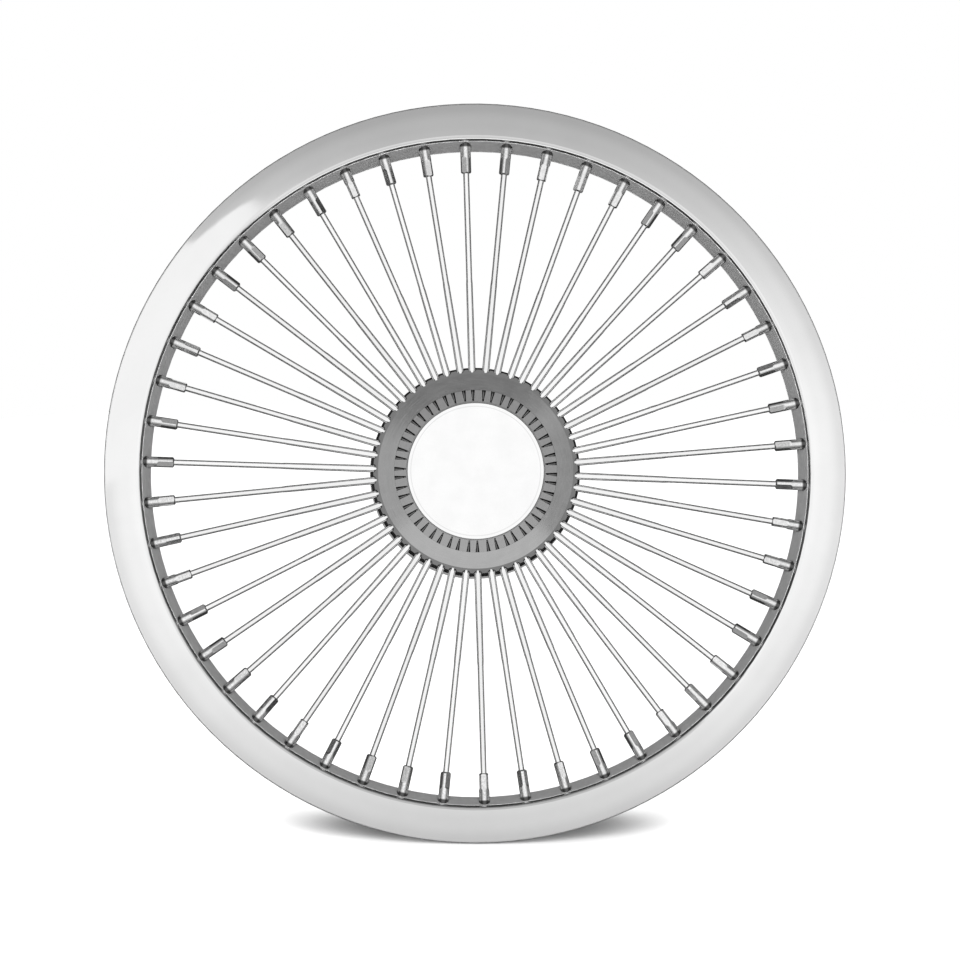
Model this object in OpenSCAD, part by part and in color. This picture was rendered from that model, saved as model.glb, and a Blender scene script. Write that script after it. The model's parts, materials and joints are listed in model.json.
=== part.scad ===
// Wire wheel spinner: a polished lip ring on fifty spokes, free to turn on a bolted-on bearing spindle.
// Millimetres. Every piece is turned about Z with the front upward, then laid down so the front faces -Y.
// The origin is the centre of the spindle's mounting face.

/* [Outer lip] */
// Width of the lip from its inner edge to its outer edge
lip_width = 25.9; // [23:0.1:28]
// Height of the lip's front face over the mounting face
lip_front_z = 33; // [31:0.5:35]
// Distance of the lip's crest, where its polished face is highest, from its inner edge
lip_crest_w = 6.3; // [5.5:0.1:8]
// Step from the hoop's inner radius out to the lip's inner edge
lip_step = 0.2; // [0.2:0.1:1.4]
// Radius of the roll at the lip's inner edge
lip_roll_r = 4.6; // [3:0.1:5]
// Radius of the curve from the crest to the outer edge
lip_crown_r = 42; // [38:1:60]
// Radius of the roll at the lip's outer edge
lip_edge_r = 1.4; // [1:0.1:3]
// Thickness of the lip at its inner edge
lip_thickness = 5; // [4.8:0.1:5.4]
// Width of the lip's flat back outside the rib
lip_flat_back_w = 8; // [6:0.5:9]
// Wall of the skirt behind the lip's outer edge
skirt_wall = 3; // [2:0.5:5]
// How far the skirt draws in towards the rear
skirt_taper = 4; // [1:0.5:6]
// Wall of the rib that grips the spoke band behind the lip
rib_wall = 3; // [2:0.5:4]
// Depth of that rib
rib_depth = 1; // [0.5:0.1:1.2]

/* [Spoke band] */
// Inner radius of the hoop where it meets the lip
band_inner_r = 227.9; // [215:0.1:240]
// Wall of the hoop there
band_wall = 5; // [4:0.5:7]
// How far the hoop's cone leans in from there to its rear
band_lean = 6.2; // [5:0.1:9]
// Length of the throat
band_throat_l = 3.2; // [2:0.1:3.4]
// Drop from the lip's back to the top of the hoop's cone
band_cone_drop = 0.8; // [0.2:0.1:2]
// Depth of the hoop behind the lip's face
band_depth = 12.5; // [12:0.5:16]

/* [Spokes] */
// Number of spoke pairs
pair_count = 25; // [25:1:25]
// Turn of the first pair's middle about the wheel axis, in degrees
first_pair_angle = -5.53; // [-14:0.01:14]
// Turn of each spoke at its nipple towards its neighbour in the pair, in degrees
pair_skew = 0.12; // [0:0.01:0.2]
// Rise of the spokes from the rim to the hub, in degrees
dish_angle = 4.35; // [4.1:0.05:4.5]
// Distance of the spoke axis behind the lip's front face, where it crosses the band
spoke_drop = 10; // [9.75:0.25:10.5]
// Diameter of the thin outer length
spoke_thin_d = 4.1; // [3.4:0.1:4.4]
// Diameter just inside the shoulder
spoke_shoulder_d = 4.5; // [4.4:0.1:4.8]
// Diameter where the spoke enters the hub
spoke_hub_d = 5.1; // [4.8:0.1:5.4]
// Radius of the shoulder from the wheel axis
spoke_shoulder_r = 131.2; // [110:0.5:150]
// Length of the shoulder
spoke_shoulder_l = 3; // [1:0.5:6]
// Distance of the spoke's end from the bottom of the collar's slot
spoke_end_gap = 1.4; // [1.2:0.1:3]
// Diameter of the swaged head that takes the pull inside the hub
spoke_head_d = 6; // [5.6:0.1:6.2]
// Length of that head
spoke_head_l = 2.5; // [1.5:0.5:3.5]
// Distance of the head's outer face inside the clamp ring's edge
spoke_head_inset = 3.9; // [3.9:0.1:5.9]

/* [Nipples] */
// How far the nipple reaches inward from the hoop's inner radius
nipple_reach = 22; // [19:0.5:28]
// Diameter of the round body
nipple_d = 7.2; // [6.6:0.1:7.6]
// Width across the four spanner flats
nipple_flats = 6.3; // [5.6:0.1:6.4]
// Length of the flats
nipple_flats_l = 10.4; // [8:0.2:12]
// Length over which the flats run out
nipple_run_out = 2; // [1:0.2:3]
// Diameter of the head behind the band
nipple_head_d = 8.2; // [7.8:0.1:8.4]
// Length of the head
nipple_head_l = 2.4; // [1.8:0.1:3]
// Diameter of the countersink in the band round each nipple
nipple_sink_d = 8.8; // [8:0.1:9]
// Length of the countersink's cone
nipple_sink_l = 3; // [2:0.1:3.4]
// Turn of the flats from one nipple to the next, in degrees
nipple_turn = 37; // [0:1:89]

/* [Hub] */
// Width of the hub body's edge outside the clamp ring
hub_edge_w = 1.8; // [1:0.1:3]
// Drop from the clamp ring's face to the hub body's front edge
hub_edge_drop = 8.8; // [8.6:0.1:10]
// Gap between the mounting flange and the hub's rear face
hub_rear_gap = 2.5; // [1.5:0.5:3]
// Outer radius of the slotted collar round the cap
collar_r = 55.7; // [54.5:0.1:56.5]
// Height of the collar's outer edge over the clamp ring's
collar_rise = 1.4; // [1:0.1:1.6]
// Further rise of the collar's face towards the cap
collar_crown = 1; // [0.4:0.1:1.2]
// Width of a collar slot at its outer end
slot_outer_w = 2.9; // [2:0.1:3.2]
// Width of a collar slot at its inner end
slot_inner_w = 1.0; // [0.6:0.1:1.4]
// Wall of the collar between the cap's recess and its outer edge
collar_wall = 8.7; // [8.5:0.1:9.5]
// Wall left between the slots' inner ends and the cap's recess
slot_end_wall = 0.8; // [0.8:0.1:2]
// Thickness of the recess floor over the bearings
recess_floor_t = 3; // [2.5:0.5:4]
// Wall between the lightening groove in the hub's rear face and the cap's recess
pocket_inner_wall = 2; // [1:0.5:5]
// Wall of the hub outside the lightening groove
pocket_outer_wall = 6.7; // [5.7:0.1:11]
// Depth of the lightening groove
pocket_depth = 14; // [6:1:16]

/* [Clamp ring] */
// Width of the clamp ring from the collar to its outer edge
clamp_w = 14.2; // [13.5:0.1:16]
// Thickness of the ring over the spokes' tops at its outer edge
clamp_t = 3.4; // [3.2:0.1:3.8]
// Rise of the ring's face towards the collar
clamp_crown = 1.8; // [1:0.1:2]
// Width of the chamfer that the notches cut
clamp_chamfer_w = 3.1; // [2:0.1:4]
// Drop of that chamfer
clamp_chamfer_h = 1.3; // [0.6:0.1:1.4]
// Radius of the half-round notches
notch_r = 3.2; // [2.8:0.1:3.3]
// Distance of the notches' centres outside the ring's edge
notch_out = 1.2; // [0.6:0.1:1.6]

/* [Centre cap] */
// Thickness of the cap's face
cap_t = 2.5; // [2:0.5:3.5]
// Distance of the cap's face behind the collar's inner edge
cap_drop = 0.2; // [0.2:0.1:1.5]
// Wall of the cap's skirt
cap_wall = 3; // [2:0.5:4]
// Radius of the cap's rounded edge
cap_edge_r = 1; // [1:0.1:2.4]
// Thickness of the rubber seal ring
seal_d = 2.5; // [2:0.25:3]

/* [Bearings] */
// Bore radius of the bearings
bearing_bore_r = 12.5; // [12.5:0.5:12.5]
// Width of one bearing
bearing_w = 9; // [9:0.5:9]
// Radial thickness of each race
race_t = 2.7; // [2.5:0.1:2.8]
// Radial space between the two races
race_space = 3.1; // [2.9:0.1:3.3]
// Diameter of the balls
ball_d = 5; // [4.6:0.1:5.2]
// Balls in one bearing
ball_count = 12; // [8:1:14]

/* [Mounting spindle] */
// Radius of the mounting flange
flange_r = 46; // [44:1:47]
// Thickness of the mounting flange
flange_t = 8; // [7:0.5:8.5]
// Radius of the bolt circle
bolt_circle_r = 36; // [34:0.5:37]
// Number of bolt holes
bolt_count = 6; // [4:1:8]
// Radius of the bolt holes
bolt_hole_r = 3.3; // [2.7:0.1:4.2]
// Radius of the counterbores for the bolt heads
bolt_head_r = 5.5; // [5:0.1:6]
// Depth of the counterbores
bolt_head_t = 5; // [3:0.5:5.5]
// Height of the shoulder that the rear bearing sits against
shoulder_w = 2.5; // [2:0.5:2.5]
// Wall of the locknut
nut_wall = 4.5; // [3.5:0.5:5]
// Height of the locknut
nut_h = 6; // [4:0.5:6.5]
// Thickness of the washer under the locknut
washer_t = 1.5; // [1:0.25:2]

/* [Fits] */
// Radial clearance of a piece seated in its bore
seat_gap = 0.05; // [0.02:0.01:0.1]
// Radial clearance of a rod in its groove
groove_gap = 0.08; // [0.05:0.01:0.15]
// Clearance of the balls in their tracks
ball_gap = 0.03; // [0.02:0.01:0.05]

/* [Hidden] */
$fn = 96;
fine = 240;
overcut = 1;
PAIRS = [for (i = [1 : pair_count]) str("spoke_pair_", i < 10 ? "0" : "", i)];

pair_pitch = 360 / pair_count;
spoke_pitch = pair_pitch / 2;

// Radii from the wheel axis
lip_inner_r = band_inner_r + lip_step;
lip_crest_r = lip_inner_r + lip_crest_w;
lip_outer_r = lip_inner_r + lip_width;
band_outer_r = band_inner_r + band_wall;
band_throat_r = band_inner_r - band_lean;
nipple_tip_r = band_inner_r - nipple_reach;
cap_recess_r = collar_r - collar_wall;
slot_inner_r = cap_recess_r + slot_end_wall;
spoke_end_r = slot_inner_r + spoke_end_gap;
clamp_r = collar_r + clamp_w;
hub_r = clamp_r + hub_edge_w;
spoke_head_r = clamp_r - spoke_head_inset;
notch_centre_r = clamp_r + notch_out;
pocket_inner_r = cap_recess_r + pocket_inner_wall;
pocket_outer_r = hub_r - pocket_outer_wall;
bearing_outer_r = bearing_bore_r + 2 * race_t + race_space;
shoulder_r = bearing_bore_r + shoulder_w;
nut_r = bearing_bore_r + nut_wall;

// Heights over the mounting face
lip_back_z = lip_front_z - lip_thickness;
band_rear_z = lip_back_z - band_depth;
spoke_rim_z = lip_front_z - spoke_drop;
hub_rear_z = flange_t + hub_rear_gap;
hub_shelf_t = 1.5;
rear_bearing_z = hub_rear_z + hub_shelf_t;
front_bearing_z = rear_bearing_z + bearing_w;
stack_top_z = front_bearing_z + bearing_w;
cap_recess_z = stack_top_z + recess_floor_t;
clamp_z = spoke_top_z(clamp_r) + clamp_t;
collar_z = clamp_z + collar_rise;
cap_face_z = collar_z + collar_crown - cap_drop;

// Height of the spoke axis at a radius, of the spokes' tops, and of the hub's seat a little below them
function spoke_z(r) = spoke_rim_z + (band_inner_r - r) * tan(dish_angle);
function spoke_top_z(r) = spoke_z(r) + spoke_hub_d / 2;
function seat_z(r) = spoke_top_z(r) - 0.3;

// Distance along a spoke from the band to a radius
function along(r) = (band_inner_r - r) / cos(dish_angle);

// Angle of spoke i (0 or 1) of a pair, counted from the middle of its pair
function side(i) = i == 0 ? -1 : 1;

// Points of an arc
function arc(cx, cy, r, a0, a1, n = 8) =
    [for (i = [0 : n]) [cx + r * cos(a0 + (a1 - a0) * i / n), cy + r * sin(a0 + (a1 - a0) * i / n)]];

// Lays a piece that was turned about Z down, with its front to -Y
module laid_down() {
    rotate([90, 0, 0]) children();
}

// A ring turned from a section of [radius, height] points
module turned(points, facets = fine) {
    rotate_extrude($fn = facets) polygon(points);
}

// Places children on the axis of one spoke: Z runs outward along it, and Z = 0 is at the band
module on_spoke(pair, i) {
    rotate([0, 0, first_pair_angle + pair * pair_pitch + side(i) * spoke_pitch / 2])
        translate([band_inner_r, 0, spoke_rim_z])
            rotate([0, 0, side(i) * pair_skew])
                rotate([0, 90 + dish_angle, 0])
                    children();
}

// The same for every spoke
module on_every_spoke() {
    for (pair = [0 : pair_count - 1])
        for (i = [0, 1])
            on_spoke(pair, i) children();
}

// Polished lip: a roll at its inner edge, a crowned face that falls outward, and a skirt that runs back
module outer_lip() {
    crown_z = lip_front_z - lip_crown_r;
    roll_x = lip_inner_r + lip_roll_r;
    inner_tilt = asin((lip_crest_r - roll_x) / (lip_crown_r - lip_roll_r));
    roll_z = crown_z + (lip_crown_r - lip_roll_r) * cos(inner_tilt);
    edge_x = lip_outer_r - lip_edge_r;
    outer_tilt = asin((edge_x - lip_crest_r) / (lip_crown_r - lip_edge_r));
    edge_z = crown_z + (lip_crown_r - lip_edge_r) * cos(outer_tilt);
    rib_outer_r = band_outer_r + rib_wall;
    section = concat(
        [[band_outer_r, lip_back_z], [lip_inner_r, lip_back_z]],
        arc(roll_x, roll_z, lip_roll_r, 180, 90 + inner_tilt, 10),
        arc(lip_crest_r, crown_z, lip_crown_r, 90 + inner_tilt, 90 - outer_tilt, 24),
        arc(edge_x, edge_z, lip_edge_r, 90 - outer_tilt, 0, 8),
        [[lip_outer_r - skirt_taper, band_rear_z],
         [lip_outer_r - skirt_taper - skirt_wall, band_rear_z],
         [lip_outer_r - skirt_wall, edge_z],
         [rib_outer_r + lip_flat_back_w, lip_back_z],
         [rib_outer_r, lip_back_z], [rib_outer_r, lip_back_z - rib_depth],
         [band_outer_r, lip_back_z - rib_depth]]);
    color("gainsboro") laid_down() turned(section);
}

// Brushed hoop with a conical inside, drilled and countersunk along each spoke for its nipple
module spoke_band() {
    section = [
        [band_inner_r, lip_back_z], [band_outer_r, lip_back_z], [band_outer_r, band_rear_z],
        [band_throat_r, band_rear_z], [band_throat_r, band_rear_z + band_throat_l],
        [band_inner_r, lip_back_z - band_cone_drop]];
    color("darkgray") laid_down() difference() {
        turned(section);
        on_every_spoke() nipple_room();
    }
}

// Room for one nipple in the hoop: a bore along the spoke, countersunk from inside
module nipple_room() {
    bore_r = nipple_d / 2 + seat_gap;
    sink_r = nipple_sink_d / 2;
    sink_floor = -1.4;
    start = -band_lean - 2 * overcut;
    end = band_wall + 2 * overcut;
    turned([[0, start], [sink_r, start], [sink_r, sink_floor - nipple_sink_l], [bore_r, sink_floor],
        [bore_r, end], [0, end]], 48);
}

// One nipple on its spoke's axis: spanner flats at the tip, a round body and a slotted head behind the band
module nipple() {
    tip = -along(nipple_tip_r);
    tip_chamfer = 0.9;
    head_chamfer = 0.6;
    driver_slot_w = 1.4;
    driver_slot_depth = 1;
    bore_end = 3;
    // The hoop's wall is slanted against the nipple, so the head bears on one side and clears the other
    seat = band_wall + nipple_head_d / 2 * tan(dish_angle) + seat_gap;
    flats_top = tip + nipple_flats_l;
    body_r = nipple_d / 2;
    head_r = nipple_head_d / 2;
    head_top = seat + nipple_head_l;
    run_out_x = body_r + 0.2;
    difference() {
        turned([[0, tip], [body_r - tip_chamfer, tip], [body_r, tip + tip_chamfer], [body_r, seat],
            [head_r, seat], [head_r, head_top - head_chamfer], [head_r - head_chamfer, head_top],
            [0, head_top]], 48);
        translate([0, 0, tip - overcut])
            cylinder(r = spoke_thin_d / 2 + seat_gap, h = overcut - tip + bore_end, $fn = 32);
        translate([-driver_slot_w / 2, -nipple_d, head_top - driver_slot_depth])
            cube([driver_slot_w, 2 * nipple_d, 2 * driver_slot_depth]);
        for (i = [0 : 3])
            rotate([0, 0, i * 90])
                rotate([90, 0, 0])
                    linear_extrude(height = nipple_d, center = true)
                        polygon([[nipple_flats / 2, tip - overcut], [nipple_flats / 2, flats_top],
                            [run_out_x, flats_top + nipple_run_out], [nipple_d, flats_top + nipple_run_out],
                            [nipple_d, tip - overcut]]);
    }
}

// Fifty nipples, each a solid of its own, with its flats turned as it was tightened
module nipples() {
    color("silver") laid_down() for (pair = [0 : pair_count - 1])
        for (i = [0, 1])
            on_spoke(pair, i) rotate([0, 0, (2 * pair + i) * nipple_turn]) nipple();
}

// One spoke on its axis: thin to the shoulder, then thickening to the hub, with a head and a plain end
module spoke() {
    outer_end = 2;
    shoulder = -along(spoke_shoulder_r);
    hub = -along(hub_r);
    head = -along(spoke_head_r);
    end = -along(spoke_end_r);
    end_chamfer = 0.5;
    turned([
        [0, end], [spoke_hub_d / 2 - end_chamfer, end], [spoke_hub_d / 2, end + end_chamfer],
        [spoke_hub_d / 2, head - spoke_head_l], [spoke_head_d / 2, head - spoke_head_l],
        [spoke_head_d / 2, head], [spoke_hub_d / 2, head], [spoke_hub_d / 2, hub],
        [spoke_shoulder_d / 2, shoulder - spoke_shoulder_l / 2],
        [spoke_thin_d / 2, shoulder + spoke_shoulder_l / 2],
        [spoke_thin_d / 2, outer_end], [0, outer_end]], 32);
}

// The two spokes of one pair
module spoke_pair(pair) {
    color("whitesmoke") laid_down() for (i = [0, 1]) on_spoke(pair, i) spoke();
}

// Room for one spoke in the hub: a groove along it and a pocket for its head
module spoke_room() {
    end = -along(spoke_end_r);
    head = -along(spoke_head_r);
    end_gap = 0.3;
    run_out = 8;
    translate([0, 0, end - end_gap])
        cylinder(r = spoke_hub_d / 2 + groove_gap, h = along(spoke_end_r) - along(hub_r) + run_out, $fn = 40);
    translate([0, 0, head - spoke_head_l - groove_gap])
        cylinder(r = spoke_head_d / 2 + groove_gap, h = spoke_head_l + 2 * groove_gap, $fn = 40);
}

// Room above the spokes' axes, so that each can be laid into its groove from the front
module spoke_mouth() {
    from_collar = 0.5;
    side_gap = 0.2;
    run_out = 8;
    start_r = collar_r + from_collar;
    width = spoke_hub_d + 2 * side_gap;
    translate([-spoke_hub_d, -width / 2, -along(start_r)])
        cube([spoke_hub_d, width, along(start_r) - along(hub_r) + run_out]);
}

// Tapered slot through the collar, down to the spoke
module collar_slot(pair, i) {
    rotate([0, 0, first_pair_angle + pair * pair_pitch + side(i) * slot_angle()])
        translate([0, 0, spoke_z(collar_r)])
            linear_extrude(height = collar_z - spoke_z(collar_r) + 2 * collar_crown)
                polygon([[slot_inner_r, -slot_inner_w / 2], [collar_r + overcut, -slot_outer_w / 2],
                    [collar_r + overcut, slot_outer_w / 2], [slot_inner_r, slot_inner_w / 2]]);
}

// Angle of a spoke from its pair's middle, where it passes under the collar and the clamp ring
function skewed_angle(r) = spoke_pitch / 2 - asin(band_inner_r / r * sin(pair_skew)) + pair_skew;
function slot_angle() = skewed_angle(collar_r);

// Hub body: bearing housing, spoke seat, slotted collar and cap recess
module hub_body() {
    chamfer = 2;
    mouth_chamfer = 0.6;
    mouth_z = collar_z + collar_crown;
    shelf_r = bearing_outer_r - 2;
    edge_r = hub_r - 2.6;
    section = [
        [shelf_r, hub_rear_z], [hub_r - chamfer, hub_rear_z], [hub_r, hub_rear_z + chamfer],
        [hub_r, clamp_z - hub_edge_drop], [edge_r, seat_z(edge_r)], [collar_r, seat_z(collar_r)],
        [collar_r, collar_z],
        [cap_recess_r + mouth_chamfer, mouth_z], [cap_recess_r, mouth_z - mouth_chamfer],
        [cap_recess_r, cap_recess_z], [bearing_outer_r + seat_gap, cap_recess_z],
        [bearing_outer_r + seat_gap, rear_bearing_z], [shelf_r, rear_bearing_z]];
    color("lightgray") laid_down() difference() {
        turned(section);
        on_every_spoke() spoke_room();
        on_every_spoke() spoke_mouth();
        for (pair = [0 : pair_count - 1])
            for (i = [0, 1])
                collar_slot(pair, i);
        translate([0, 0, hub_rear_z - overcut])
            turned([[pocket_inner_r, 0], [pocket_outer_r, 0], [pocket_outer_r, pocket_depth + overcut],
                [pocket_inner_r, pocket_depth + overcut]]);
        translate([0, 0, stack_top_z])
            cylinder(r = bearing_outer_r + ring_groove, h = ring_t + seat_gap, $fn = fine);
    }
}

// Front ring that holds the spokes down, with a half-round notch over each
module clamp_ring() {
    bore_r = collar_r + seat_gap;
    face_r = clamp_r - clamp_chamfer_w;
    head_room = (spoke_head_d - spoke_hub_d) / 2 + seat_gap;
    heads_r0 = spoke_head_r - spoke_head_l - 2 * head_room;
    heads_r1 = spoke_head_r + 2 * head_room;
    function under_z(r) = spoke_top_z(r) + seat_gap;
    section = [
        [bore_r, under_z(bore_r)], [heads_r0, under_z(heads_r0)], [heads_r0, under_z(heads_r0) + head_room],
        [heads_r1, under_z(heads_r0) + head_room], [heads_r1, under_z(heads_r1)],
        [clamp_r, under_z(clamp_r)],
        [clamp_r, clamp_z - clamp_chamfer_h], [face_r, clamp_z], [bore_r, clamp_z + clamp_crown]];
    color("silver") laid_down() difference() {
        turned(section);
        for (pair = [0 : pair_count - 1])
            for (i = [0, 1])
                rotate([0, 0, first_pair_angle + pair * pair_pitch + side(i) * skewed_angle(notch_centre_r)])
                    translate([notch_centre_r, 0, seat_z(clamp_r) - overcut])
                        cylinder(r = notch_r, h = clamp_z - seat_z(clamp_r) + 2 * overcut, $fn = 48);
    }
}

// Plain polished cap with a skirt that stands on the recess floor
module centre_cap() {
    outer_r = cap_recess_r - seat_gap;
    inner_r = outer_r - cap_wall;
    section = concat(
        [[0, cap_face_z], [0, cap_face_z - cap_t], [inner_r, cap_face_z - cap_t], [inner_r, cap_recess_z],
         [outer_r, cap_recess_z]],
        [[outer_r, seal_z - seal_groove], [outer_r - seal_depth, seal_z - seal_groove],
         [outer_r - seal_depth, seal_z + seal_groove], [outer_r, seal_z + seal_groove]],
        arc(outer_r - cap_edge_r, cap_face_z - cap_edge_r, cap_edge_r, 0, 90));
    color("white") laid_down() turned(section);
}

// Rubber ring in the groove of the cap's skirt
module cap_seal() {
    color("dimgray") laid_down() translate([0, 0, seal_z])
        turned([[cap_recess_r - seal_gap - seal_ring_t, -seal_d / 2], [cap_recess_r - seal_gap, -seal_d / 2],
            [cap_recess_r - seal_gap, seal_d / 2], [cap_recess_r - seal_gap - seal_ring_t, seal_d / 2]]);
}

seal_z = cap_recess_z + 3.5;
seal_gap = 0.02;
seal_ring_t = 1.3;
seal_depth = seal_ring_t + seal_gap;
seal_groove = seal_d / 2 + seal_gap;
ring_t = 1.5;
ring_groove = 1;

// Split ring in the hub's bore, in front of the bearings
module retaining_ring() {
    ring_reach = 2;
    ring_mouth = 14;
    outer_r = bearing_outer_r + ring_groove - seat_gap;
    color("dimgray") laid_down() translate([0, 0, stack_top_z + seat_gap / 2])
        rotate([0, 0, ring_mouth])
            rotate_extrude(angle = 360 - 2 * ring_mouth, $fn = fine)
                translate([bearing_outer_r - ring_reach, 0])
                    square([outer_r - bearing_outer_r + ring_reach, ring_t]);
}

ball_circle_r = (bearing_bore_r + bearing_outer_r) / 2;
track_r = ball_d / 2 + ball_gap;
race_chamfer = 0.4;

// Section of a race between two radii, with its track turned out
module race(inner_r, outer_r, z) {
    color("lightsteelblue") laid_down() translate([0, 0, z]) difference() {
        turned([[inner_r + race_chamfer, 0], [outer_r - race_chamfer, 0], [outer_r, race_chamfer],
            [outer_r, bearing_w - race_chamfer], [outer_r - race_chamfer, bearing_w],
            [inner_r + race_chamfer, bearing_w], [inner_r, bearing_w - race_chamfer],
            [inner_r, race_chamfer]]);
        translate([0, 0, bearing_w / 2])
            rotate_extrude($fn = fine) translate([ball_circle_r, 0]) circle(r = track_r, $fn = 48);
    }
}

module rear_outer_race() {
    race(bearing_outer_r - race_t, bearing_outer_r, rear_bearing_z);
}

module front_outer_race() {
    race(bearing_outer_r - race_t, bearing_outer_r, front_bearing_z);
}

module rear_inner_race() {
    race(bearing_bore_r + seat_gap, bearing_bore_r + race_t, rear_bearing_z);
}

module front_inner_race() {
    race(bearing_bore_r + seat_gap, bearing_bore_r + race_t, front_bearing_z);
}

// One ring of balls
module balls(z) {
    color("silver") laid_down() for (i = [0 : ball_count - 1])
        rotate([0, 0, i * 360 / ball_count])
            translate([ball_circle_r, 0, z + bearing_w / 2]) sphere(r = ball_d / 2, $fn = 32);
}

module rear_balls() {
    balls(rear_bearing_z);
}

module front_balls() {
    balls(front_bearing_z);
}

// The two seals of one bearing, held by its outer race and just clear of its inner race
module seals(z) {
    seal_t = 0.8;
    seal_inset = 0.3;
    lip_gap = 0.15;
    color("black") laid_down() for (side_z = [z + seal_inset, z + bearing_w - seal_inset - seal_t])
        translate([0, 0, side_z])
            turned([[bearing_bore_r + race_t + lip_gap, 0], [bearing_outer_r - race_t - seat_gap, 0],
                [bearing_outer_r - race_t - seat_gap, seal_t], [bearing_bore_r + race_t + lip_gap, seal_t]]);
}

module rear_seals() {
    seals(rear_bearing_z);
}

module front_seals() {
    seals(front_bearing_z);
}

thread_top_z = stack_top_z + washer_t + nut_h;

// Mounting flange with its bolt circle, shoulder, bearing seat and threaded end in one piece
module mounting_spindle() {
    chamfer = 1;
    section = [
        [0, 0], [flange_r - chamfer, 0], [flange_r, chamfer], [flange_r, flange_t - chamfer],
        [flange_r - chamfer, flange_t], [shoulder_r, flange_t], [shoulder_r, rear_bearing_z],
        [bearing_bore_r, rear_bearing_z], [bearing_bore_r, thread_top_z - chamfer],
        [bearing_bore_r - chamfer, thread_top_z], [0, thread_top_z]];
    color("gray") laid_down() difference() {
        turned(section);
        for (i = [0 : bolt_count - 1])
            rotate([0, 0, i * 360 / bolt_count]) translate([bolt_circle_r, 0, 0]) {
                translate([0, 0, -overcut])
                    cylinder(r = bolt_hole_r, h = flange_t + 2 * overcut, $fn = 48);
                translate([0, 0, flange_t - bolt_head_t])
                    cylinder(r = bolt_head_r, h = bolt_head_t + overcut, $fn = 48);
            }
    }
}

module spindle_washer() {
    washer_r = bearing_bore_r + race_t;
    color("silver") laid_down() translate([0, 0, stack_top_z])
        turned([[bearing_bore_r + seat_gap, 0], [washer_r, 0], [washer_r, washer_t],
            [bearing_bore_r + seat_gap, washer_t]]);
}

// Locknut with four spanner slots
module spindle_locknut() {
    slot_w = 5;
    slot_depth = 2;
    color("slategray") laid_down() translate([0, 0, stack_top_z + washer_t]) difference() {
        turned([[bearing_bore_r + seat_gap, 0], [nut_r, 0], [nut_r, nut_h],
            [bearing_bore_r + seat_gap, nut_h]]);
        for (i = [0 : 3])
            rotate([0, 0, i * 90])
                translate([nut_r - slot_depth, -slot_w / 2, -overcut])
                    cube([2 * slot_depth, slot_w, nut_h + 2 * overcut]);
    }
}

outer_lip();
spoke_band();
nipples();
for (pair = [0 : pair_count - 1]) spoke_pair(pair);
hub_body();
clamp_ring();
centre_cap();
cap_seal();
retaining_ring();
rear_outer_race();
front_outer_race();
rear_inner_race();
front_inner_race();
rear_balls();
front_balls();
rear_seals();
front_seals();
mounting_spindle();
spindle_washer();
spindle_locknut();
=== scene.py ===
"""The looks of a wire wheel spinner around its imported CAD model: metals, studio, floor and camera.

Lengths are in metres in the CAD frame: +Y runs along the axis towards the road wheel, the visible
front faces -Y, +Z is up and +X is to the right as seen from the front.
"""
import json
import math

import bpy
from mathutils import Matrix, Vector


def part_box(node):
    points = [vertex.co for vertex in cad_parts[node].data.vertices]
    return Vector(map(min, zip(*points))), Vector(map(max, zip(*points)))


IMAGE_PX = 960

# Where the photograph has the lip: its width and its centre, in pixels
LIP_WIDTH_PX = 742.0
LIP_CENTRE_PX = (475.0, 473.2)
CAMERA_DISTANCE = 12.0
# The camera lies below the axis and to its left, in degrees
CAMERA_BELOW = 4.6
CAMERA_LEFT = 1.6

# The floor's plane as the camera sees it, in degrees from edge on
FLOOR_SEEN_FROM = 16.0
FLOOR_RADIUS = 1.1
# Clearance between the floor and the lip, so that they don't share a surface
FLOOR_GAP = 0.0003
# The patch of floor where the wheel's shadow shows, dimmed there as a painted shadow over the lamp's real
# one: half its width and depth, and its middle's place behind and to the right of the wheel's foot
SHADOW_HALF_WIDTH = 0.158
SHADOW_HALF_DEPTH = 0.06
SHADOW_BACK = 0.03
SHADOW_RIGHT = 0.004
# Where the patch starts and stops fading, as shares of its half width and depth
SHADOW_FADE = (0.4, 1.15)
# How much the floor glows for the camera in the patch and outside it
SHADOW_GLOW = 0.03
FLOOR_GLOW = 0.85
# The lamp that throws the shadow, and the point that it aims at
LAMP_PLACE = Vector((0.0, -2.13, 0.3))
LAMP_AIM = Vector((0.0, 0.0, -0.25))
LAMP_POWER = 53.0
LAMP_SIZE = 1.7

# The even light that falls on matt faces
EVEN_LIGHT = 0.25
# What metal shows of the studio beside the wheel, and in a strip to its left and right
BESIDE_LEVEL = 0.045
STRIP_LEVEL = 0.08
# Angles from the front, in degrees, over which the studio fades in from black, where the cards hang
BLACK_TO = (70.0, 80.0)
# Angles from the front, in degrees, over which it turns white behind the wheel
WHITE_FROM = (152.0, 166.0)

# The light cards before the wheel: their distance and radius
CARD_DISTANCE = 0.65
CARD_RADIUS = 3.5
# Levels of the lip's card above, below and to the sides, and its far part's levels above and below
CARD_ABOVE = 0.485
CARD_BELOW = 0.67
CARD_SIDE = 0.95
CARD_FAR_ABOVE = 0.25
CARD_FAR_BELOW = 0.12
# Radius beyond which only the lip's rolled edges reflect its card
LIP_CARD_R = 1.2
# Angle round the card at which its light window ends above, in degrees, and the window's slant
WINDOW_EDGE = 129.5
WINDOW_SLANT = 11.0
# Radius of the white middle of the hub's card, and the radius beyond which the card is an even grey
CARD_WHITE_R = 0.20
HUB_CARD_R = 0.42
HUB_CARD_FAR = 0.45
# Radius within which the spokes' card is white, so that each spoke has a white core
SPOKE_WHITE_R = 0.85
# Radius within which the nipples' card is white, the grey round that, and where the grey ends
NIPPLE_WHITE_R = 0.4
NIPPLE_GREY = 0.36
NIPPLE_CARD_R = 1.7

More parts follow.
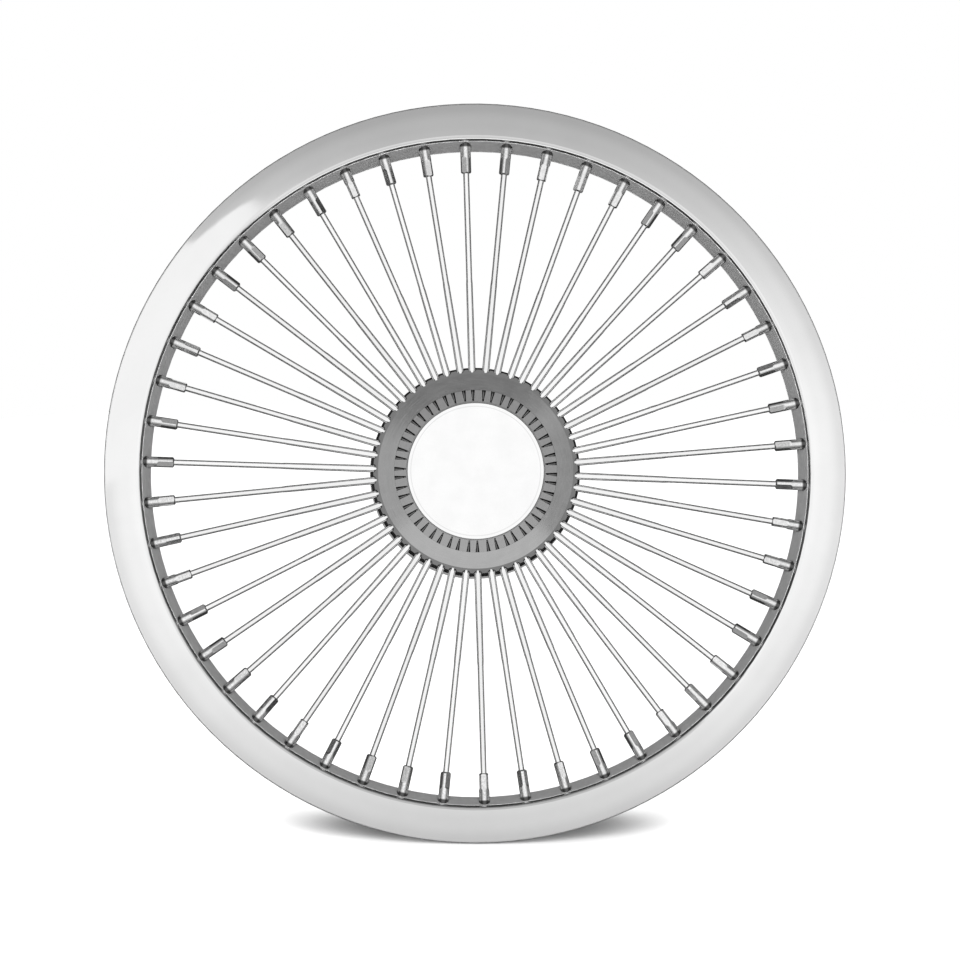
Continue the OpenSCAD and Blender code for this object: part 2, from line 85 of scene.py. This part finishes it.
SPOKE_COUNT = 50
FIRST_PAIR_ANGLE = math.radians(-5.53)
# Inside this radius, in the collar's slots, the spokes are darkened as painted shade; the length of the
# fade outside it and the share of their brightness that is left
SPOKE_SHADE_R = 0.0555
SPOKE_SHADE_FADE = 0.0015
SPOKE_SHADE_SHARE = 0.18
# Beyond this radius, in the hoop's holes, the nipples are darkened as painted shade; the fade's length
# and the share that is left
NIPPLE_SHADE_R = 0.2238
NIPPLE_SHADE_FADE = 0.0016
NIPPLE_SHADE_SHARE = 0.12
# Share of their brightness that the walls of slots and notches keep, as painted shade
WALL_SHADE_SHARE = 0.3
# Beyond this radius the lip's edge is satin; the fade's length and the roughness on either side
LIP_EDGE_R = 0.2526
LIP_EDGE_FADE = 0.0006
LIP_POLISH = 0.06
LIP_SATIN = 0.45
# Radius of the fine groove in the cap, and the distances from it over which it fades out
CAP_GROOVE_R = 0.0444
CAP_GROOVE_FADE = (0.0001, 0.0006)
# The range that most of a noise texture's values lie in
NOISE_RANGE = (0.2, 0.8)
# Detail of the noise that draws fine lines
LINE_DETAIL = 3.0
# How often the drawing lines of a rod change, along it and across it
ROD_ALONG = 60.0
ROD_ACROSS = 4000.0
# How much rods differ from each other in brightness and in roughness
ROD_LEVEL_SPREAD = 0.10
ROD_ROUGH_SPREAD = 0.05

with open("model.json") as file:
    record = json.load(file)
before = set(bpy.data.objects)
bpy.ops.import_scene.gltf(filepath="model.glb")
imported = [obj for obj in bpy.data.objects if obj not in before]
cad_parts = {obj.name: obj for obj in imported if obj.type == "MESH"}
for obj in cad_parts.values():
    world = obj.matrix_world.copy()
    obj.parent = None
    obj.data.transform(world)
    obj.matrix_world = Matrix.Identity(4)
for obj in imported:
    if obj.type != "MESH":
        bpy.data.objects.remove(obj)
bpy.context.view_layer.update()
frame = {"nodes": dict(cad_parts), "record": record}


class Graph:
    """Adds nodes to one shader tree, with sockets or plain numbers as inputs."""

    def __init__(self, tree):
        self.tree = tree

    def node(self, kind, **settings):
        made = self.tree.nodes.new(kind)
        for name, value in settings.items():
            setattr(made, name, value)
        return made

    def feed(self, socket, value):
        if isinstance(value, bpy.types.NodeSocket):
            self.tree.links.new(value, socket)
        else:
            socket.default_value = value

    def math(self, operation, *values):
        made = self.node("ShaderNodeMath", operation=operation)
        for socket, value in zip(made.inputs, values):
            self.feed(socket, value)
        return made.outputs[0]

    def add(self, a, b):
        return self.math("ADD", a, b)

    def minus(self, a, b):
        return self.math("SUBTRACT", a, b)

    def times(self, a, b):
        return self.math("MULTIPLY", a, b)

    def length(self, a, b):
        """Length of the vector that has a and b along two axes."""
        return self.math("SQRT", self.add(self.times(a, a), self.times(b, b)))

    def weigh(self, base, *weighted):
        """The base plus each value times its weight."""
        total = base
        for value, weight in weighted:
            total = self.add(self.times(value, weight), total)
        return total

    def smooth(self, value, start, end, low=0.0, high=1.0):
        made = self.node("ShaderNodeMapRange", interpolation_type="SMOOTHERSTEP")
        for socket, number in zip(made.inputs, (value, start, end, low, high)):
            self.feed(socket, number)
        return made.outputs[0]

    def mix(self, factor, a, b):
        made = self.node("ShaderNodeMix", data_type="FLOAT")
        self.feed(made.inputs[0], factor)
        self.feed(made.inputs[2], a)
        self.feed(made.inputs[3], b)
        return made.outputs[0]

    def grey(self, level):
        made = self.node("ShaderNodeCombineColor")
        for socket in made.inputs:
            self.feed(socket, level)
        return made.outputs[0]

    def combine(self, x, y, z):
        made = self.node("ShaderNodeCombineXYZ")
        for socket, value in zip(made.inputs, (x, y, z)):
            self.feed(socket, value)
        return made.outputs[0]

    def split(self, vector):
        made = self.node("ShaderNodeSeparateXYZ")
        self.feed(made.inputs[0], vector)
        return made.outputs

    def noise(self, vector, scale, detail, roughness=0.5):
        made = self.node("ShaderNodeTexNoise")
        self.feed(made.inputs["Vector"], vector)
        self.feed(made.inputs["Scale"], scale)
        self.feed(made.inputs["Detail"], detail)
        self.feed(made.inputs["Roughness"], roughness)
        return made.outputs["Fac"]

    def spread(self, noise, low, high):
        """Stretches a noise over the values from low to high."""
        return self.smooth(noise, *NOISE_RANGE, low, high)

    def place(self):
        """The point on the piece, which turns with it."""
        return self.node("ShaderNodeTexCoord").outputs["Object"]

    def polar(self):
        """Radius from the axis, angle round it and depth along it, of the point on the piece."""
        x, y, z = self.split(self.place())
        return self.length(x, z), self.math("ARCTAN2", z, x), y

    def bump(self, height, distance):
        made = self.node("ShaderNodeBump")
        made.inputs["Strength"].default_value = 1.0
        made.inputs["Distance"].default_value = distance
        self.feed(made.inputs["Height"], height)
        return made.outputs[0]


def metal(name, build):
    """A metal whose colour, roughness and normal come from build(graph)."""
    material = bpy.data.materials.new(name)
    material.use_nodes = True
    tree = material.node_tree
    tree.nodes.clear()
    graph = Graph(tree)
    shader = graph.node("ShaderNodeBsdfPrincipled")
    shader.inputs["Metallic"].default_value = 1.0
    for socket, value in build(graph).items():
        graph.feed(shader.inputs[socket], value)
    out = graph.node("ShaderNodeOutputMaterial")
    graph.feed(out.inputs["Surface"], shader.outputs[0])
    return material


def round_lines(graph, across, along):
    """Fine lines that run round the axis, as a lathe or a polishing mop leaves them."""
    radius, angle, depth = graph.polar()
    reach = graph.weigh(graph.times(radius, across), (depth, across))
    sweep_x = graph.times(graph.math("COSINE", angle), along)
    sweep_z = graph.times(graph.math("SINE", angle), along)
    return graph.noise(graph.combine(reach, sweep_x, sweep_z), scale=1.0, detail=LINE_DETAIL)


def rod_lines(graph):
    """Fine lines that run along a radial rod, as drawing leaves them."""
    radius, angle, depth = graph.polar()
    reach = graph.times(radius, ROD_ALONG)
    turn = graph.times(graph.times(angle, radius), ROD_ACROSS)
    vector = graph.combine(reach, turn, graph.times(depth, ROD_ACROSS))
    return graph.noise(vector, scale=1.0, detail=LINE_DETAIL)


def rod_share(graph):
    """A number from 0 to 1 that is the same all over one spoke and differs between spokes."""
    angle = graph.polar()[1]
    step = 2 * math.pi / SPOKE_COUNT
    index = graph.math("FLOOR", graph.math("DIVIDE", graph.minus(angle, FIRST_PAIR_ANGLE), step))
    made = graph.node("ShaderNodeTexWhiteNoise", noise_dimensions="1D")
    graph.feed(made.inputs["W"], index)
    return made.outputs["Value"]


def polished_lip(graph):
    """A mirror with long waves, a faint haze and polishing lines, and satin at its outer edge."""
    place = graph.place()
    waves = graph.noise(place, scale=9.0, detail=1.0)
    haze = graph.noise(place, scale=40.0, detail=4.0)
    lines = round_lines(graph, across=2500.0, along=6.0)
    edge = (LIP_EDGE_R, LIP_EDGE_R + LIP_EDGE_FADE)
    rough = graph.smooth(graph.polar()[0], *edge, low=LIP_POLISH, high=LIP_SATIN)
    return {
        "Base Color": graph.grey(graph.spread(haze, low=0.93, high=0.96)),
        "Roughness": graph.weigh(rough, (haze, 0.03)),
        "Normal": graph.bump(graph.weigh(waves, (lines, 0.02)), distance=0.0006),
    }


def brushed_band(graph):
    """Brushed round the hoop, slightly mottled, and partly matt."""
    lines = round_lines(graph, across=5000.0, along=30.0)
    mottle = graph.noise(graph.place(), scale=260.0, detail=4.0, roughness=0.6)
    return {
        "Metallic": 0.75,
        "Base Color": graph.grey(graph.weigh(0.66, (lines, 0.14), (mottle, 0.2))),
        "Roughness": graph.weigh(0.28, (mottle, 0.15)),
        "Normal": graph.bump(graph.add(lines, mottle), distance=0.00006),
    }


def chrome(base, rough, line_depth, speckle, painted_shade):
    """Plated rod with drawing lines and painted shade in its hollow; painted_shade is two radii and the
    share of brightness at each.
    """

    def build(graph):
        specks = graph.noise(graph.place(), scale=900.0, detail=3.0, roughness=0.6)
        share = rod_share(graph)
        darkest = base - ROD_LEVEL_SPREAD / 2 - speckle / 2
        level = graph.weigh(darkest, (share, ROD_LEVEL_SPREAD), (specks, speckle))
        # Painted shade: the rod is darker where it sits in a slot or hole
        shaded = graph.smooth(graph.polar()[0], *painted_shade)
        return {
            "Base Color": graph.grey(graph.times(level, shaded)),
            "Roughness": graph.weigh(rough - 0.03, (specks, 0.06), (share, ROD_ROUGH_SPREAD)),
            "Normal": graph.bump(graph.add(rod_lines(graph), specks), line_depth),
        }

    return build


# Painted shade: spokes darker in the collar's slots, nipples darker in the hoop's holes
SPOKE_SHADE_RANGE = (SPOKE_SHADE_R, SPOKE_SHADE_R + SPOKE_SHADE_FADE, SPOKE_SHADE_SHARE, 1.0)
NIPPLE_SHADE_RANGE = (NIPPLE_SHADE_R, NIPPLE_SHADE_R + NIPPLE_SHADE_FADE, 1.0, NIPPLE_SHADE_SHARE)


def painted_wall_shade(graph):
    """Painted shade: 1 on faces turned to the front or the back, and less on the walls of slots and
    notches.
    """
    normal = graph.node("ShaderNodeTexCoord").outputs["Normal"]
    facing = graph.math("ABSOLUTE", graph.split(normal)[1])
    return graph.smooth(facing, 0.25, 0.75, low=WALL_SHADE_SHARE, high=1.0)


def turned_metal(base, rough, line_depth):
    """Lathe-turned face with fine rings and a light mottle, with painted shade on the walls of slots and
    notches.
    """

    def build(graph):
        lines = round_lines(graph, across=5200.0, along=4.0)
        mottle = graph.noise(graph.place(), scale=130.0, detail=5.0, roughness=0.6)
        tone = graph.weigh(base - 0.09, (lines, 0.08), (mottle, 0.10))
        return {
            # Walls that face sideways get painted shade
            "Base Color": graph.grey(graph.times(tone, painted_wall_shade(graph))),
            "Roughness": graph.weigh(rough - 0.06, (mottle, 0.12)),
            "Normal": graph.bump(graph.add(lines, mottle), line_depth),
        }

    return build


def cap_polish(graph):
    """A bright polish with fine rings, a faint haze and a thin groove near the cap's edge."""
    lines = round_lines(graph, across=3000.0, along=5.0)
    haze = graph.noise(graph.place(), scale=70.0, detail=4.0)
    away = graph.math("ABSOLUTE", graph.minus(graph.polar()[0], CAP_GROOVE_R))
    groove = graph.smooth(away, *CAP_GROOVE_FADE, low=0.86, high=1.0)
    return {
        "Base Color": graph.grey(graph.times(graph.spread(haze, low=0.95, high=0.99), groove)),
        "Roughness": graph.weigh(0.12, (haze, 0.05)),
        "Normal": graph.bump(lines, distance=0.00002),
    }


def seal_rubber(graph):
    """Moulded black rubber."""
    grain = graph.noise(graph.place(), scale=1800.0, detail=3.0, roughness=0.7)
    return {
        "Metallic": 0.0,
        "Base Color": graph.grey(graph.spread(grain, low=0.015, high=0.035)),
        "Roughness": graph.spread(grain, low=0.5, high=0.68),
        "Normal": graph.bump(grain, distance=0.00008),
    }


FINISHES = {
    "polished_lip": polished_lip,
    "brushed_band": brushed_band,
    "nipple_chrome": chrome(base=0.84, rough=0.10, line_depth=0.00003, speckle=0.6, painted_shade=NIPPLE_SHADE_RANGE),
    "spoke_chrome": chrome(base=0.93, rough=0.10, line_depth=0.00002, speckle=0.06, painted_shade=SPOKE_SHADE_RANGE),
    "hub_metal": turned_metal(base=0.41, rough=0.32, line_depth=0.00004),
    "clamp_metal": turned_metal(base=0.43, rough=0.14, line_depth=0.00002),
    "cap_polish": cap_polish,
    "seal_rubber": seal_rubber,
    "spring_steel": turned_metal(base=0.16, rough=0.36, line_depth=0.00004),
    "bearing_steel": turned_metal(base=0.62, rough=0.20, line_depth=0.00003),
    "spindle_steel": turned_metal(base=0.5, rough=0.3, line_depth=0.00005),
}


def dress_nodes():
    """Gives every CAD node the finish of its slot in the record."""
    materials = {slot: metal(slot, build) for slot, build in FINISHES.items()}
    for part in frame["record"]["subparts"]:
        mesh = frame["nodes"][part["node"]].data
        mesh.materials.clear()
        mesh.materials.append(materials[part["material_slot"]])


def camera_direction():
    """Unit vector from the wheel's centre to the camera."""
    below, left = math.radians(CAMERA_BELOW), math.radians(CAMERA_LEFT)
    return Vector((-math.cos(below) * math.sin(left), -math.cos(below) * math.cos(left), -math.sin(below)))


def place_camera():
    """Aims the camera so that the lip has its width and place in the photograph."""
    low, high = (Vector(corner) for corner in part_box("outer_lip"))
    metres_per_px = (high.x - low.x) / LIP_WIDTH_PX
    towards = camera_direction()
    data = bpy.data.cameras.new("camera")
    data.angle = 2 * math.atan(metres_per_px * IMAGE_PX / 2 / CAMERA_DISTANCE)
    camera = bpy.data.objects.new("camera", data)
    bpy.context.collection.objects.link(camera)
    camera.rotation_euler = (-towards).to_track_quat("-Z", "Y").to_euler()
    turn = camera.rotation_euler.to_matrix()
    offset_right = (IMAGE_PX / 2 - LIP_CENTRE_PX[0]) * metres_per_px
    offset_up = (LIP_CENTRE_PX[1] - IMAGE_PX / 2) * metres_per_px
    lip_centre = (low + high) / 2
    aim = lip_centre + turn @ Vector((offset_right, offset_up, 0.0))
    camera.location = aim + towards * CAMERA_DISTANCE
    data.clip_end = CAMERA_DISTANCE * 3
    bpy.context.scene.camera = camera


def arc_level(graph, angle, centre, half_width, soft):
    """1 within half_width of the centre angle, falling to 0 over soft, all in degrees."""
    away = graph.minus(angle, math.radians(centre))
    away = graph.math("ABSOLUTE", graph.math("WRAP", away, math.pi, -math.pi))
    return graph.smooth(away, math.radians(half_width), math.radians(half_width + soft), low=1.0, high=0.0)


def fill_emitter(owner, shader_kind, output_kind, level_of):
    """Fills the owner's tree with a plain emission whose grey level comes from level_of(graph)."""
    tree = owner.node_tree
    tree.nodes.clear()
    graph = Graph(tree)
    shader = graph.node(shader_kind)
    graph.feed(shader.inputs["Color"], graph.grey(level_of(graph)))
    graph.feed(graph.node(output_kind).inputs["Surface"], shader.outputs[0])


def studio_level(graph):
    """White for the camera and even for matt faces. Metal sees it dark beside the wheel, white
    behind it, and black before it, where each piece sees a card."""
    x, y, z = graph.split(graph.node("ShaderNodeTexCoord").outputs["Generated"])
    from_front = graph.math("ARCCOSINE", graph.times(y, -1.0))
    angle = graph.math("ARCTAN2", z, x)
    strips = [arc_level(graph, angle, centre, half_width=14.0, soft=10.0) for centre in (0.0, 180.0)]
    beside = graph.mix(graph.math("MAXIMUM", *strips), BESIDE_LEVEL, STRIP_LEVEL)
    behind = graph.smooth(from_front, *(math.radians(limit) for limit in WHITE_FROM))
    beyond_cards = graph.smooth(from_front, *(math.radians(limit) for limit in BLACK_TO))
    shown = graph.times(graph.mix(behind, beside, 1.0), beyond_cards)
    paths = graph.node("ShaderNodeLightPath")
    shown = graph.mix(paths.outputs["Is Diffuse Ray"], shown, EVEN_LIGHT)
    return graph.mix(paths.outputs["Is Camera Ray"], shown, 1.0)


def light_studio():
    """The surroundings: the background, the even light and what metal sees beyond the cards."""
    world = bpy.data.worlds.new("studio")
    bpy.context.scene.world = world
    world.use_nodes = True
    fill_emitter(world, "ShaderNodeBackground", "ShaderNodeOutputWorld", studio_level)


def card_centre():
    """The point before the wheel where the cards hang, in line with the mirrored view."""
    towards = camera_direction()
    return Vector((-towards.x * CARD_DISTANCE, -CARD_DISTANCE, -towards.z * CARD_DISTANCE))


def card_polar(graph):
    """Radius from a card's centre and angle round it."""
    centre = card_centre()
    point = graph.split(graph.node("ShaderNodeNewGeometry").outputs["Position"])
    x = graph.minus(point[0], centre.x)
    z = graph.minus(point[2], centre.z)
    return graph.length(x, z), graph.math("ARCTAN2", z, x)


def lip_card(graph):
    """Greyer above and below, as a studio's ceiling and floor, and light to the sides."""
    radius, angle = card_polar(graph)
    across = graph.math("ABSOLUTE", graph.math("COSINE", angle))
    above = graph.weigh(CARD_ABOVE, (graph.math("POWER", across, 3.0), CARD_SIDE - CARD_ABOVE))
    below = graph.weigh(CARD_BELOW, (graph.math("POWER", across, 2.0), CARD_SIDE - CARD_BELOW))
    is_above = graph.math("GREATER_THAN", graph.math("SINE", angle), 0.0)
    level = graph.mix(is_above, below, above)
    middle = graph.smooth(radius, 0.15, 0.4, low=1.05, high=1.0)
    fall = graph.smooth(radius, 0.4, 1.0, low=1.0, high=0.86)
    level = graph.times(level, graph.times(middle, fall))

    slant = graph.smooth(radius, 0.4, 0.9, low=0.0, high=math.radians(WINDOW_SLANT))
    turned = graph.minus(angle, graph.times(slant, is_above))
    window_middle, window_half = (180.0 + WINDOW_EDGE) / 2, (180.0 - WINDOW_EDGE) / 2
    window = arc_level(graph, turned, window_middle, window_half, soft=1.5)
    level = graph.mix(window, level, CARD_SIDE)

    low_arc = arc_level(graph, angle, centre=-90.0, half_width=30.0, soft=25.0)
    dark = graph.times(low_arc, graph.smooth(radius, 1.9, 2.3, low=1.0, high=0.0))
    high_arc = arc_level(graph, angle, centre=90.0, half_width=50.0, soft=35.0)
    rolled = graph.mix(high_arc, graph.mix(dark, 1.0, CARD_FAR_BELOW), CARD_FAR_ABOVE)
    return graph.mix(graph.smooth(radius, LIP_CARD_R, LIP_CARD_R + 0.2), level, rolled)


def hub_card(graph):
    """White in the middle, then lighter below and darker above, and an even grey far out."""
    radius, angle = card_polar(graph)
    lower = arc_level(graph, angle, centre=-92.0, half_width=50.0, soft=3.0)
    upper = arc_level(graph, angle, centre=98.0, half_width=36.0, soft=30.0)
    right = arc_level(graph, angle, centre=-10.0, half_width=30.0, soft=20.0)
    level = graph.mix(right, 0.72, 0.56)
    level = graph.mix(upper, graph.mix(lower, level, 1.0), 0.36)
    level = graph.mix(graph.smooth(radius, HUB_CARD_R, HUB_CARD_R + 0.15), level, HUB_CARD_FAR)
    return graph.mix(graph.smooth(radius, CARD_WHITE_R, CARD_WHITE_R + 0.03), 1.0, level)


def cap_card(graph):
    """White, and greyer far out for the cap's rounded rim."""
    return graph.smooth(card_polar(graph)[0], 1.2, 2.4, low=1.0, high=0.75)


def spoke_card(graph):
    """White in the middle, so that each spoke has a white core between dark edges."""
    return graph.smooth(card_polar(graph)[0], SPOKE_WHITE_R, SPOKE_WHITE_R + 0.4, low=1.0, high=0.12)


def nipple_card(graph):
    """White in the middle and grey beyond, so that the spanner flats are darker than the round bodies."""
    radius = card_polar(graph)[0]
    level = graph.smooth(radius, NIPPLE_WHITE_R, NIPPLE_WHITE_R + 0.3, low=1.0, high=NIPPLE_GREY)
    return graph.mix(graph.smooth(radius, NIPPLE_CARD_R - 0.3, NIPPLE_CARD_R), level, 0.02)


def hang_card(level_of, names):
    """One round light card before the wheel, which only the reflections in the named nodes show."""
    data = bpy.data.lights.new(level_of.__name__, "AREA")
    data.shape = "DISK"
    data.size = 2 * CARD_RADIUS
    # The power at which a level of 1 shows as white in a mirror
    data.energy = (math.pi * CARD_RADIUS) ** 2
    data.use_nodes = True
    fill_emitter(data, "ShaderNodeEmission", "ShaderNodeOutputLight", level_of)
    lamp = bpy.data.objects.new(level_of.__name__, data)
    bpy.context.collection.objects.link(lamp)
    lamp.location = card_centre()
    lamp.rotation_euler = Vector((0.0, 1.0, 0.0)).to_track_quat("-Z", "Y").to_euler()
    lamp.visible_camera = False
    lamp.visible_diffuse = False
    receivers = bpy.data.collections.new(level_of.__name__)
    for name in names:
        receivers.objects.link(frame["nodes"][name])
    lamp.light_linking.receiver_collection = receivers


def hang_cards():
    """A card for each group of pieces, with the hub's card for all that have none of their own."""
    spokes = [name for name in frame["nodes"] if name.startswith("spoke_pair")]
    groups = {
        lip_card: ["outer_lip"],
        spoke_card: spokes,
        nipple_card: ["nipples", "spoke_band"],
        cap_card: ["centre_cap"],
    }
    placed = sum(groups.values(), [])
    groups[hub_card] = [name for name in frame["nodes"] if name not in placed]
    for level_of, names in groups.items():
        hang_card(level_of, names)


def floor_glow(graph, place):
    """How much the floor glows for the camera: least in the patch at the wheel's foot, a painted shadow
    over the lamp's real shadow.
    """
    point = graph.split(place)
    across = graph.math("DIVIDE", graph.minus(point[0], SHADOW_RIGHT), SHADOW_HALF_WIDTH)
    along = graph.math("DIVIDE", graph.minus(point[1], SHADOW_BACK), SHADOW_HALF_DEPTH)
    # Painted shadow: the floor glows less in the patch at the wheel's foot
    strength = graph.smooth(graph.length(across, along), *SHADOW_FADE, low=SHADOW_GLOW, high=FLOOR_GLOW)
    for_camera = graph.node("ShaderNodeLightPath").outputs["Is Camera Ray"]
    return graph.times(for_camera, strength)


def floor_material():
    """White for the camera apart from the wheel's foot, where a painted shadow and the lamp's real shadow
    show, and clear from below.
    """
    material = bpy.data.materials.new("floor")
    material.use_nodes = True
    material.node_tree.nodes.clear()
    graph = Graph(material.node_tree)
    place = graph.place()
    grain = graph.noise(place, scale=30.0, detail=3.0)
    diffuse = graph.node("ShaderNodeBsdfDiffuse")
    graph.feed(diffuse.inputs["Color"], graph.grey(graph.spread(grain, low=0.79, high=0.81)))
    glow = graph.node("ShaderNodeEmission")
    graph.feed(glow.inputs["Strength"], floor_glow(graph, place))
    lit = graph.node("ShaderNodeAddShader")
    graph.feed(lit.inputs[0], diffuse.outputs[0])
    graph.feed(lit.inputs[1], glow.outputs[0])
    clear = graph.node("ShaderNodeBsdfTransparent")
    sided = graph.node("ShaderNodeMixShader")
    graph.feed(sided.inputs[0], graph.node("ShaderNodeNewGeometry").outputs["Backfacing"])
    graph.feed(sided.inputs[1], lit.outputs[0])
    graph.feed(sided.inputs[2], clear.outputs[0])
    out = graph.node("ShaderNodeOutputMaterial")
    graph.feed(out.inputs["Surface"], sided.outputs[0])
    return material


def lay_floor():
    """A round floor that touches the lip's lowest edge, tilted so that the camera looks down on it."""
    slope = math.radians(CAMERA_BELOW + FLOOR_SEEN_FROM)
    up = Vector((0.0, -math.sin(slope), math.cos(slope)))
    lip = frame["nodes"]["outer_lip"].data
    touch = min((vertex.co for vertex in lip.vertices), key=lambda co: co.dot(up))
    bpy.ops.mesh.primitive_circle_add(vertices=96, radius=FLOOR_RADIUS, fill_type="NGON")
    floor = bpy.context.object
    floor.name = "floor"
    floor.rotation_euler = (slope, 0.0, 0.0)
    floor.location = Vector((0.0, touch.y, touch.z)) - up * FLOOR_GAP
    floor.data.materials.append(floor_material())
    floor.visible_glossy = False


def hang_lamp():
    """One broad lamp before the wheel, for a soft shadow behind its foot."""
    data = bpy.data.lights.new("top_lamp", "AREA")
    data.shape = "DISK"
    data.size = LAMP_SIZE
    data.energy = LAMP_POWER
    lamp = bpy.data.objects.new("top_lamp", data)
    bpy.context.collection.objects.link(lamp)
    lamp.location = LAMP_PLACE
    lamp.rotation_euler = (LAMP_AIM - LAMP_PLACE).to_track_quat("-Z", "Y").to_euler()
    lamp.visible_glossy = False
    lamp.visible_camera = False


dress_nodes()
place_camera()
light_studio()
hang_cards()
lay_floor()
hang_lamp()
bpy.context.scene.view_settings.view_transform = "Standard"
